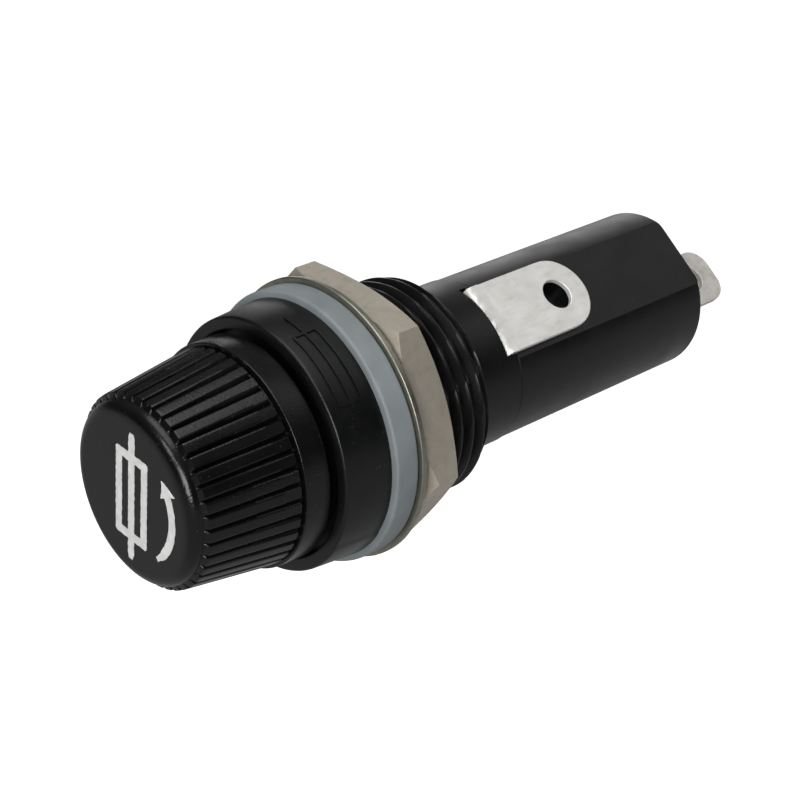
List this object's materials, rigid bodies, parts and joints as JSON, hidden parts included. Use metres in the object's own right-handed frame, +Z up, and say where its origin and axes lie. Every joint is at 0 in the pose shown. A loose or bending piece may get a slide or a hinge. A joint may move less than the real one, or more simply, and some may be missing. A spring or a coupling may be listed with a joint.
{
  "type": "cartridge fuse holder",
  "caption": "Panel-mount cartridge fuse holder: ribbed screw knob, flanged black housing, gasket, washer and hex nut, side and rear solder terminals, with its glass fuse.",
  "frame": {"origin": "on the holder's axis, in the rear seating face of the flange, where the panel's gasket lies", "axes": "+Y along the holder's axis from the knob to the rear lug, through the panel; +Z up; +X to the right as seen from the knob"},
  "size_m": [0.0194, 0.0536, 0.0188],
  "materials": {
    "housing_plastic": "satin",
    "knob_plastic": "satin",
    "gasket_rubber": "matte",
    "washer_plating": "satin",
    "nut_plating": "matte",
    "tinned_terminal": "matt tin plating",
    "lug_plating": "matt tin plating",
    "brass": "satin",
    "spring_steel": "bright",
    "fuse_glass": "clear",
    "cap_plating": "nickel plating",
    "fuse_element": "drawn wire",
    "solder": "dull",
    "ink": "printed"
  },
  "bodies": {
    "housing": {"housing": "housing_plastic", "contact_sleeve": "brass", "side_terminal": "tinned_terminal", "rear_terminal": "lug_plating", "spring_seat": "brass", "contact_spring": "spring_steel"},
    "gasket": {"sealing_gasket": "gasket_rubber"},
    "washer": {"flat_washer": "washer_plating"},
    "nut": {"hex_nut": "nut_plating"},
    "plunger": {"contact_plunger": "brass"},
    "fuse": {"fuse_glass": "fuse_glass", "fuse_cap_front": "cap_plating", "fuse_cap_rear": "cap_plating", "fuse_wire": "fuse_element", "solder_front": "solder", "solder_rear": "solder"},
    "knob": {"knob": "knob_plastic", "cap_marking": "ink", "threaded_ferrule": "brass", "fuse_clip": "brass"}
  },
  "joints": [
    {"name": "gasket_slide", "type": "slide", "parent": "housing", "child": "gasket", "axis": [0, 1, 0], "range_m": [0, 0.045]},
    {"name": "washer_slide", "type": "slide", "parent": "gasket", "child": "washer", "axis": [0, 1, 0], "range_m": [0, 0.00801]},
    {"name": "nut_turn", "type": "hinge", "parent": "washer", "child": "nut", "pos_m": [0, 0.0038, 0], "axis": [0, 1, 0], "range_deg": [0, 2880]},
    {"name": "plunger_slide", "type": "slide", "parent": "housing", "child": "plunger", "axis": [0, -1, 0], "range_m": [0, 0.00376], "deforming": ["contact_spring"]},
    {"name": "fuse_pull", "type": "slide", "parent": "plunger", "child": "fuse", "axis": [0, -1, 0], "range_m": [0, 0.035]},
    {"name": "knob_turn", "type": "hinge", "parent": "fuse", "child": "knob", "pos_m": [0, -0.0085, 0], "axis": [0, -1, 0], "range_deg": [0, 1080]}
  ],
  "couplings": [
    {"joint": "washer_slide", "follows": "nut_turn", "m_per_rad": 0.00015915},
    {"joint": "plunger_slide", "follows": "knob_turn", "m_per_rad": 0.00019894}
  ]
}
